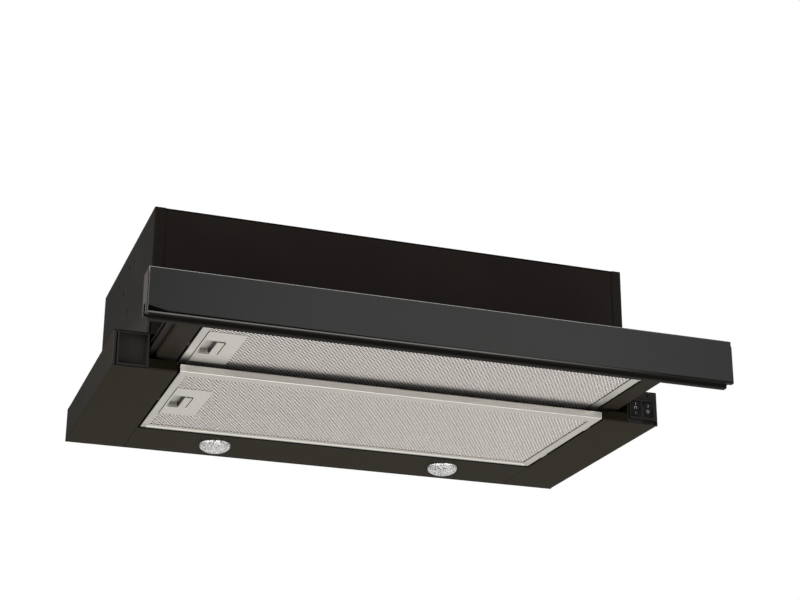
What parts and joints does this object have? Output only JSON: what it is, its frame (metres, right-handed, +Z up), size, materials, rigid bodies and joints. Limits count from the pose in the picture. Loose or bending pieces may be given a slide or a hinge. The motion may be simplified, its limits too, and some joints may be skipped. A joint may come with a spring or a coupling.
{
  "type": "pull-out range hood",
  "caption": "Black under-cabinet hood with a glass-fronted pull-out carriage, swing-down grease filters, lamps, rocker switches and a top duct outlet.",
  "frame": {"origin": "where the cabinet's underside meets the wall, on the hood's centre line", "axes": "+X to the right as the user faces the hood, +Y towards the wall, +Z up"},
  "size_m": [0.6, 0.4524, 0.2188],
  "materials": {
    "cabinet_paint": "satin black enamel",
    "front_glass": "dark grey glass, coated behind, polished edges",
    "black_profile": "matt black",
    "black_plastic": "fine matt texture",
    "rocker_plastic": "half gloss",
    "zinc_steel": "bright zinc plate",
    "filter_aluminium": "plain aluminium, satin",
    "latch_plate": "satin",
    "latch_slider": "grey plastic",
    "lens_glass": "clear pressed glass",
    "bulb_glass": "clear glass",
    "reflector": "bright metal",
    "lamp_ceramic": "off-white",
    "fan_plastic": "dark grey",
    "motor_steel": "zinc plate",
    "rubber": "plain",
    "capacitor_white": "white"
  },
  "bodies": {
    "housing": {"left_cheek": "cabinet_paint", "right_cheek": "cabinet_paint", "left_side_plate": "cabinet_paint", "right_side_plate": "cabinet_paint", "left_slide_bracket": "zinc_steel", "right_slide_bracket": "zinc_steel", "front_cover": "cabinet_paint", "top_plate": "cabinet_paint", "rear_wall": "cabinet_paint", "lamp_strip": "cabinet_paint", "blank_cap": "black_plastic", "switch_housing": "black_plastic", "switch_block": "black_plastic", "left_slide_rail": "zinc_steel", "right_slide_rail": "zinc_steel", "outlet_collar": "black_plastic", "collar_screws": "zinc_steel", "flap_pin": "zinc_steel", "cable_gland": "black_plastic", "fan_scroll": "fan_plastic", "left_fan_side": "fan_plastic", "right_fan_side": "fan_plastic", "fan_motor": "motor_steel", "motor_bushes": "rubber", "run_capacitor": "capacitor_white", "terminal_box": "black_plastic", "lamp_lenses": "lens_glass", "lamp_reflectors": "reflector", "lamp_capsules": "bulb_glass", "lamp_holders": "lamp_ceramic", "housing_screws": "zinc_steel"},
    "pull_out": {"front_glass": "front_glass", "front_profile": "black_profile", "left_end_cap": "black_plastic", "right_end_cap": "black_plastic", "left_arm": "cabinet_paint", "right_arm": "cabinet_paint", "cross_bar": "cabinet_paint", "arm_screws": "zinc_steel", "left_slide_runner": "zinc_steel", "right_slide_runner": "zinc_steel"},
    "left_cage": {"left_ball_cage": "zinc_steel"},
    "right_cage": {"right_ball_cage": "zinc_steel"},
    "rear_filter": {"rear_filter_frame": "filter_aluminium", "rear_filter_mesh": "filter_aluminium", "rear_filter_core": "filter_aluminium", "rear_latch_plate": "latch_plate", "rear_latch_spring": "zinc_steel"},
    "rear_latch": {"rear_latch_slider": "latch_slider"},
    "front_filter": {"front_filter_frame": "filter_aluminium", "front_filter_mesh": "filter_aluminium", "front_filter_core": "filter_aluminium", "front_latch_plate": "latch_plate", "front_latch_spring": "zinc_steel"},
    "front_latch": {"front_latch_slider": "latch_slider"},
    "fan_rocker": {"fan_rocker": "rocker_plastic"},
    "light_rocker": {"light_rocker": "rocker_plastic"},
    "impeller": {"impeller": "fan_plastic"},
    "front_flap": {"front_flap": "black_plastic"},
    "rear_flap": {"rear_flap": "black_plastic"}
  },
  "joints": [
    {"name": "pull_out_slide", "type": "slide", "parent": "housing", "child": "pull_out", "axis": [0, 1, 0], "range_m": [0, 0.142]},
    {"name": "left_cage_roll", "type": "slide", "parent": "housing", "child": "left_cage", "axis": [0, 1, 0], "range_m": [0, 0.071]},
    {"name": "right_cage_roll", "type": "slide", "parent": "housing", "child": "right_cage", "axis": [0, 1, 0], "range_m": [0, 0.071]},
    {"name": "rear_filter_swing", "type": "hinge", "parent": "housing", "child": "rear_filter", "pos_m": [0.2342, -0.1875, -0.03775], "axis": [0, -1, 0], "range_deg": [0, 45]},
    {"name": "front_filter_swing", "type": "hinge", "parent": "pull_out", "child": "front_filter", "pos_m": [0.2342, -0.325, -0.02275], "axis": [0, -1, 0], "range_deg": [0, 45]},
    {"name": "rear_latch_pull", "type": "slide", "parent": "rear_filter", "child": "rear_latch", "axis": [1, 0, 0], "range_m": [0, 0.006], "stiffness_N_per_m": 300, "springref_m": -0.004, "deforming": ["rear_latch_spring"]},
    {"name": "front_latch_pull", "type": "slide", "parent": "front_filter", "child": "front_latch", "axis": [1, 0, 0], "range_m": [0, 0.006], "stiffness_N_per_m": 300, "springref_m": -0.004, "deforming": ["front_latch_spring"]},
    {"name": "fan_rocker_tilt", "type": "hinge", "parent": "housing", "child": "fan_rocker", "pos_m": [0.2736, -0.285, -0.022], "axis": [1, 0, 0], "range_deg": [-9, 9]},
    {"name": "light_rocker_tilt", "type": "hinge", "parent": "housing", "child": "light_rocker", "pos_m": [0.2886, -0.285, -0.022], "axis": [1, 0, 0], "range_deg": [-16, 0]},
    {"name": "impeller_spin", "type": "hinge", "parent": "housing", "child": "impeller", "pos_m": [0, -0.178, 0.06], "axis": [1, 0, 0], "continuous": true},
    {"name": "front_flap_swing", "type": "hinge", "parent": "housing", "child": "front_flap", "pos_m": [0, -0.14, 0.1505], "axis": [-1, 0, 0], "range_deg": [0, 75]},
    {"name": "rear_flap_swing", "type": "hinge", "parent": "housing", "child": "rear_flap", "pos_m": [0, -0.14, 0.1505], "axis": [1, 0, 0], "range_deg": [0, 75]}
  ],
  "couplings": [
    {"joint": "left_cage_roll", "follows": "pull_out_slide", "ratio": 0.5},
    {"joint": "right_cage_roll", "follows": "pull_out_slide", "ratio": 0.5},
    {"joint": "front_filter_swing", "follows": "rear_filter_swing", "ratio": 1}
  ]
}
